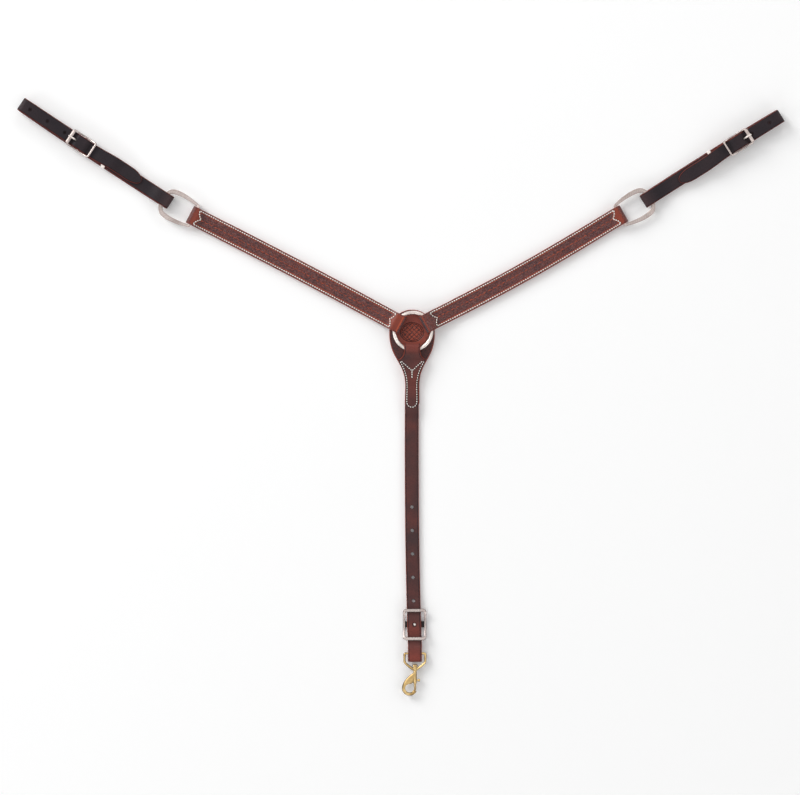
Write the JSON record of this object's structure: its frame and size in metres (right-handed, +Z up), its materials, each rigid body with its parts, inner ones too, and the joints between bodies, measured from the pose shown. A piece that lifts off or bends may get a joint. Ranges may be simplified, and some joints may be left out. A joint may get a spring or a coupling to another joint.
{
  "type": "horse breast collar",
  "caption": "Western Y-shaped leather breast collar: hub ring with shield, two stamped shoulder straps with dees and buckled tugs, and a tie-down strap with adjuster and bolt snap.",
  "frame": {"origin": "centre of the hub ring, on the plane that the collar lies on", "axes": "+Z up from the leather's back to its face, +X to the right shoulder strap's side, -Y along the tie-down strap"},
  "size_m": [1.0456, 0.8145, 0.0182],
  "materials": {
    "shoulder_leather": "oiled, basket stamped",
    "tie_down_leather": "oiled, smooth",
    "tug_leather": "dark, smooth",
    "nickel": "nickel plated",
    "brass": "cast, polished",
    "spring_steel": "drawn wire"
  },
  "bodies": {
    "yoke": {"ring_shield": "tie_down_leather", "tie_down_strap": "tie_down_leather", "conway_buckle": "nickel"},
    "ring": {"centre_ring": "nickel"},
    "left_shoulder": {"left_shoulder_face": "shoulder_leather", "left_shoulder_lining": "shoulder_leather"},
    "left_dee": {"left_dee": "nickel"},
    "left_tug": {"left_tug_strap": "tug_leather", "left_buckle_frame": "nickel", "left_chape_keeper": "nickel"},
    "left_roller": {"left_buckle_roller": "nickel"},
    "left_tongue": {"left_buckle_tongue": "nickel"},
    "right_shoulder": {"right_shoulder_face": "shoulder_leather", "right_shoulder_lining": "shoulder_leather"},
    "right_dee": {"right_dee": "nickel"},
    "right_tug": {"right_tug_strap": "tug_leather", "right_buckle_frame": "nickel", "right_chape_keeper": "nickel"},
    "right_roller": {"right_buckle_roller": "nickel"},
    "right_tongue": {"right_buckle_tongue": "nickel"},
    "snap_loop": {"snap_swivel_loop": "brass"},
    "snap": {"snap_body": "brass", "snap_spring": "spring_steel"},
    "bolt": {"snap_bolt": "brass"}
  },
  "joints": [
    {"name": "ring_turn", "type": "hinge", "parent": "yoke", "child": "ring", "pos_m": [0, 0, 0.0077], "axis": [0, 0, 1], "continuous": true},
    {"name": "left_shoulder_swing", "type": "hinge", "parent": "yoke", "child": "left_shoulder", "pos_m": [0, 0, 0.0077], "axis": [0, 0, 1], "range_deg": [-18, 25]},
    {"name": "left_dee_tilt", "type": "hinge", "parent": "left_shoulder", "child": "left_dee", "pos_m": [-0.29838, 0.15665, 0.00475], "axis": [0.4648, 0.8854, 0], "range_deg": [0, 75]},
    {"name": "left_tug_swing", "type": "hinge", "parent": "left_dee", "child": "left_tug", "pos_m": [-0.32069, 0.16837, 0.00475], "axis": [0, 0, 1], "range_deg": [-15, 15]},
    {"name": "left_roller_turn", "type": "hinge", "parent": "left_tug", "child": "left_roller", "pos_m": [-0.46546, 0.26455, 0.01355], "axis": [0.5534, 0.8329, 0], "continuous": true},
    {"name": "left_tongue_lift", "type": "hinge", "parent": "left_tug", "child": "left_tongue", "pos_m": [-0.45113, 0.25503, 0.0076], "axis": [0.5534, 0.8329, 0], "range_deg": [0, 6]},
    {"name": "right_shoulder_swing", "type": "hinge", "parent": "yoke", "child": "right_shoulder", "pos_m": [0, 0, 0.0077], "axis": [0, 0, 1], "range_deg": [-25, 18]},
    {"name": "right_dee_tilt", "type": "hinge", "parent": "right_shoulder", "child": "right_dee", "pos_m": [0.28213, 0.15768, 0.00475], "axis": [0.4879, -0.8729, 0], "range_deg": [0, 75]},
    {"name": "right_tug_swing", "type": "hinge", "parent": "right_dee", "child": "right_tug", "pos_m": [0.30413, 0.16997, 0.00475], "axis": [0, 0, 1], "range_deg": [-15, 15]},
    {"name": "right_roller_turn", "type": "hinge", "parent": "right_tug", "child": "right_roller", "pos_m": [0.45738, 0.2661, 0.01355], "axis": [0.5314, -0.8471, 0], "continuous": true},
    {"name": "right_tongue_lift", "type": "hinge", "parent": "right_tug", "child": "right_tongue", "pos_m": [0.44281, 0.25696, 0.0076], "axis": [0.5314, -0.8471, 0], "range_deg": [0, 6]},
    {"name": "snap_loop_tilt", "type": "hinge", "parent": "yoke", "child": "snap_loop", "pos_m": [0.00268, -0.43889, 0.00425], "axis": [-1, -0.0061, 0], "range_deg": [0, 75]},
    {"name": "snap_swivel", "type": "hinge", "parent": "snap_loop", "child": "snap", "pos_m": [0.00283, -0.46319, 0.00425], "axis": [0.0061, -1, 0], "continuous": true},
    {"name": "snap_bolt_slide", "type": "slide", "parent": "snap", "child": "bolt", "axis": [-0.0061, 1, 0], "range_m": [0, 0.007], "stiffness_N_per_m": 200, "deforming": ["snap_spring"]}
  ]
}
